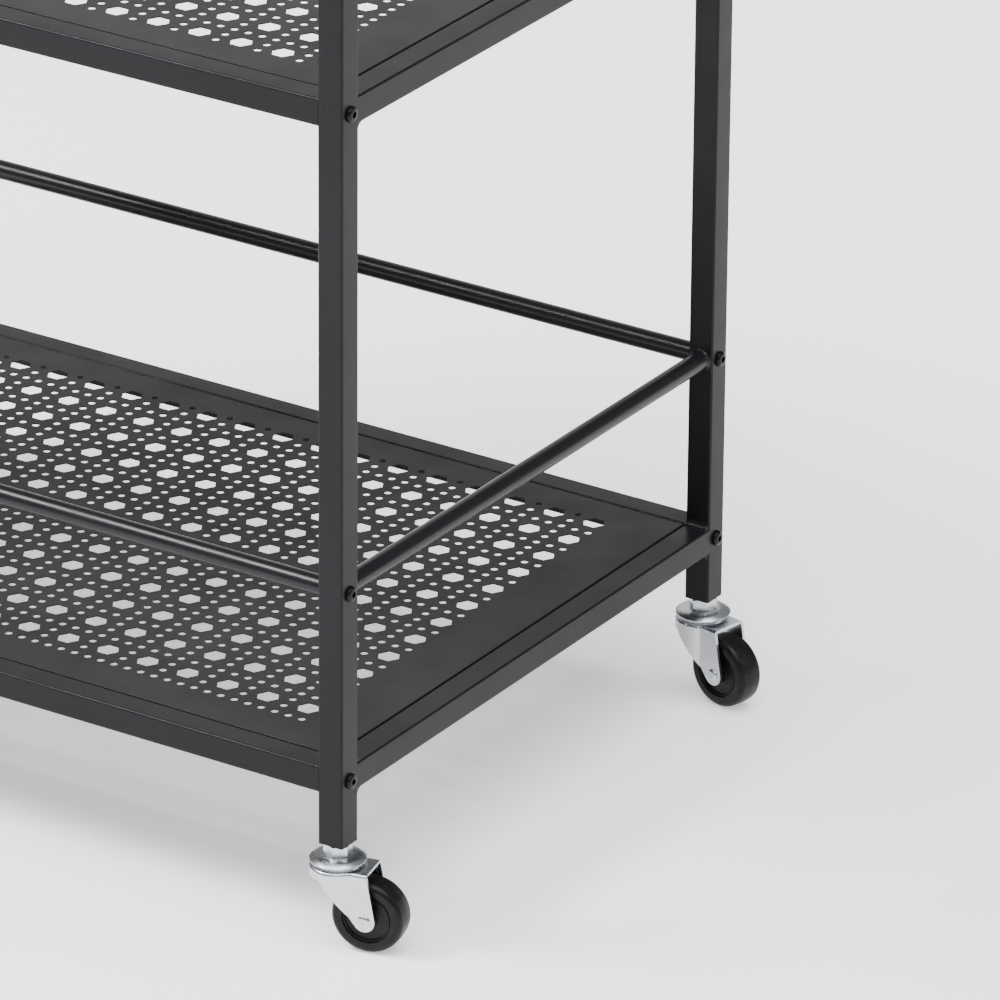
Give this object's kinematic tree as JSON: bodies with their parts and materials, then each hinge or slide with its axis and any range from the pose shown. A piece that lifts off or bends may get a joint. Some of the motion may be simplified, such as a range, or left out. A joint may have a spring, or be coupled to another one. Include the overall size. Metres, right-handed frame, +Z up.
{
  "type": "bar cart",
  "caption": "Two-tier bar cart of square steel tube with perforated shelves, round guard bars and swivel casters.",
  "frame": {"origin": "on the floor, under the middle of the cart", "axes": "+X along the cart, +Y across it from front to back, +Z up"},
  "size_m": [0.7832, 0.494, 0.7465],
  "materials": {
    "frame_powder_coat": "satin charcoal powder coat, fine texture",
    "guard_powder_coat": "smoother satin charcoal powder coat",
    "shelf_powder_coat": "satin charcoal powder coat on perforated sheet",
    "black_screw": "black oxide",
    "cap_plastic": "moulded matt",
    "zinc_plate": "bright zinc plate",
    "wheel_moulding": "moulded, satin tread"
  },
  "bodies": {
    "root": {"caster_stem_back_left": "zinc_plate", "caster_stem_back_right": "zinc_plate", "caster_stem_front_left": "zinc_plate", "caster_stem_front_right": "zinc_plate", "guard_screw_lower_back_left": "black_screw", "guard_screw_lower_back_right": "black_screw", "guard_screw_lower_front_left": "black_screw", "guard_screw_lower_front_right": "black_screw", "guard_screw_upper_back_left": "black_screw", "guard_screw_upper_back_right": "black_screw", "guard_screw_upper_front_left": "black_screw", "guard_screw_upper_front_right": "black_screw", "leg_back_left": "frame_powder_coat", "leg_back_right": "frame_powder_coat", "leg_cap_back_left": "cap_plastic", "leg_cap_back_right": "cap_plastic", "leg_cap_front_left": "cap_plastic", "leg_cap_front_right": "cap_plastic", "leg_front_left": "frame_powder_coat", "leg_front_right": "frame_powder_coat", "long_guard_lower_back": "guard_powder_coat", "long_guard_lower_front": "guard_powder_coat", "long_guard_upper_back": "guard_powder_coat", "long_guard_upper_front": "guard_powder_coat", "long_rail_lower_back": "frame_powder_coat", "long_rail_lower_front": "frame_powder_coat", "long_rail_upper_back": "frame_powder_coat", "long_rail_upper_front": "frame_powder_coat", "rail_screw_lower_back_left": "black_screw", "rail_screw_lower_back_right": "black_screw", "rail_screw_lower_front_left": "black_screw", "rail_screw_lower_front_right": "black_screw", "rail_screw_upper_back_left": "black_screw", "rail_screw_upper_back_right": "black_screw", "rail_screw_upper_front_left": "black_screw", "rail_screw_upper_front_right": "black_screw", "shelf_lower": "shelf_powder_coat", "shelf_upper": "shelf_powder_coat", "side_guard_lower_left": "guard_powder_coat", "side_guard_lower_right": "guard_powder_coat", "side_guard_upper_left": "guard_powder_coat", "side_guard_upper_right": "guard_powder_coat", "side_rail_lower_left": "frame_powder_coat", "side_rail_lower_right": "frame_powder_coat", "side_rail_upper_left": "frame_powder_coat", "side_rail_upper_right": "frame_powder_coat"},
    "fork_front_left": {"caster_fork_front_left": "zinc_plate", "caster_axle_front_left": "zinc_plate"},
    "wheel_front_left": {"caster_wheel_front_left": "wheel_moulding"},
    "fork_front_right": {"caster_fork_front_right": "zinc_plate", "caster_axle_front_right": "zinc_plate"},
    "wheel_front_right": {"caster_wheel_front_right": "wheel_moulding"},
    "fork_back_left": {"caster_fork_back_left": "zinc_plate", "caster_axle_back_left": "zinc_plate"},
    "wheel_back_left": {"caster_wheel_back_left": "wheel_moulding"},
    "fork_back_right": {"caster_fork_back_right": "zinc_plate", "caster_axle_back_right": "zinc_plate"},
    "wheel_back_right": {"caster_wheel_back_right": "wheel_moulding"}
  },
  "joints": [
    {"name": "swivel_front_left", "type": "hinge", "parent": "root", "child": "fork_front_left", "pos_m": [-0.3425, -0.2275, 0.058], "axis": [0, 0, 1], "continuous": true},
    {"name": "roll_front_left", "type": "hinge", "parent": "fork_front_left", "child": "wheel_front_left", "pos_m": [-0.36544, -0.22241, 0.0255], "axis": [-0.2164, -0.9763, 0], "continuous": true},
    {"name": "swivel_front_right", "type": "hinge", "parent": "root", "child": "fork_front_right", "pos_m": [0.3425, -0.2275, 0.058], "axis": [0, 0, 1], "continuous": true},
    {"name": "roll_front_right", "type": "hinge", "parent": "fork_front_right", "child": "wheel_front_right", "pos_m": [0.36544, -0.22241, 0.0255], "axis": [-0.2164, 0.9763, 0], "continuous": true},
    {"name": "swivel_back_left", "type": "hinge", "parent": "root", "child": "fork_back_left", "pos_m": [-0.3425, 0.2275, 0.058], "axis": [0, 0, 1], "continuous": true},
    {"name": "roll_back_left", "type": "hinge", "parent": "fork_back_left", "child": "wheel_back_left", "pos_m": [-0.36544, 0.22241, 0.0255], "axis": [0.2164, -0.9763, 0], "continuous": true},
    {"name": "swivel_back_right", "type": "hinge", "parent": "root", "child": "fork_back_right", "pos_m": [0.3425, 0.2275, 0.058], "axis": [0, 0, 1], "continuous": true},
    {"name": "roll_back_right", "type": "hinge", "parent": "fork_back_right", "child": "wheel_back_right", "pos_m": [0.36544, 0.22241, 0.0255], "axis": [0.2164, 0.9763, 0], "continuous": true}
  ]
}
